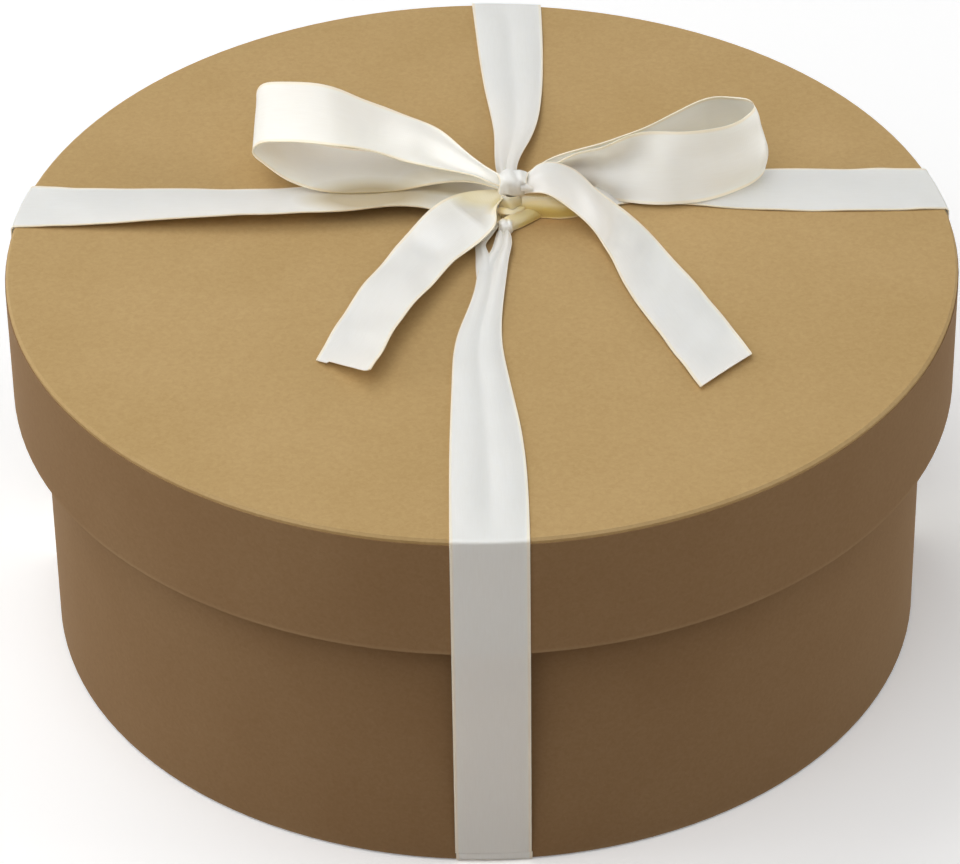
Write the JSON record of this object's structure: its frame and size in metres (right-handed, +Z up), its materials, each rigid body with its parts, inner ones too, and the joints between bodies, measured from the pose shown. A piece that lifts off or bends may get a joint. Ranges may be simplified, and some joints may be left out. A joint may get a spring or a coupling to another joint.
{
  "type": "round gift box",
  "caption": "Round paper-covered gift box with a deep lift-off lid, tied both ways with a satin ribbon and a bow.",
  "frame": {"origin": "middle of the underside, on the surface that the box stands on", "axes": "+Z up out of the lid, the box's axis; -Y towards the front, where the ribbon's tails lie; +X to the right seen from the front"},
  "size_m": [0.32, 0.3216, 0.17],
  "materials": {
    "kraft_paper": "matte kraft wrap with a faint gold cast",
    "grey_board": "plain grey board",
    "lining_paper": "matte off-white lining",
    "satin_ribbon": "cream satin"
  },
  "bodies": {
    "base": {"base_wall_board": "grey_board", "base_floor_board": "grey_board", "base_wrap_paper": "kraft_paper", "base_underside_paper": "kraft_paper", "base_wall_lining": "lining_paper", "base_floor_lining": "lining_paper", "ribbon_under_front_back": "satin_ribbon", "ribbon_under_left_right": "satin_ribbon"},
    "lid": {"lid_top_board": "grey_board", "lid_rim_board": "grey_board", "lid_top_paper": "kraft_paper", "lid_rim_wrap": "kraft_paper", "lid_rim_lining": "lining_paper", "lid_top_lining": "lining_paper", "ribbon_front_band": "satin_ribbon", "ribbon_back_band": "satin_ribbon", "ribbon_left_band": "satin_ribbon", "ribbon_right_band": "satin_ribbon", "ribbon_front_drop": "satin_ribbon", "ribbon_back_drop": "satin_ribbon", "ribbon_left_drop": "satin_ribbon", "ribbon_right_drop": "satin_ribbon", "ribbon_crossing": "satin_ribbon", "bow_knot": "satin_ribbon", "bow_left_loop": "satin_ribbon", "bow_right_loop": "satin_ribbon", "bow_left_tail": "satin_ribbon", "bow_right_tail": "satin_ribbon"}
  },
  "joints": [
    {"name": "lid_lift", "type": "slide", "parent": "base", "child": "lid", "axis": [0, 0, 1], "range_m": [0, 0.16]}
  ]
}
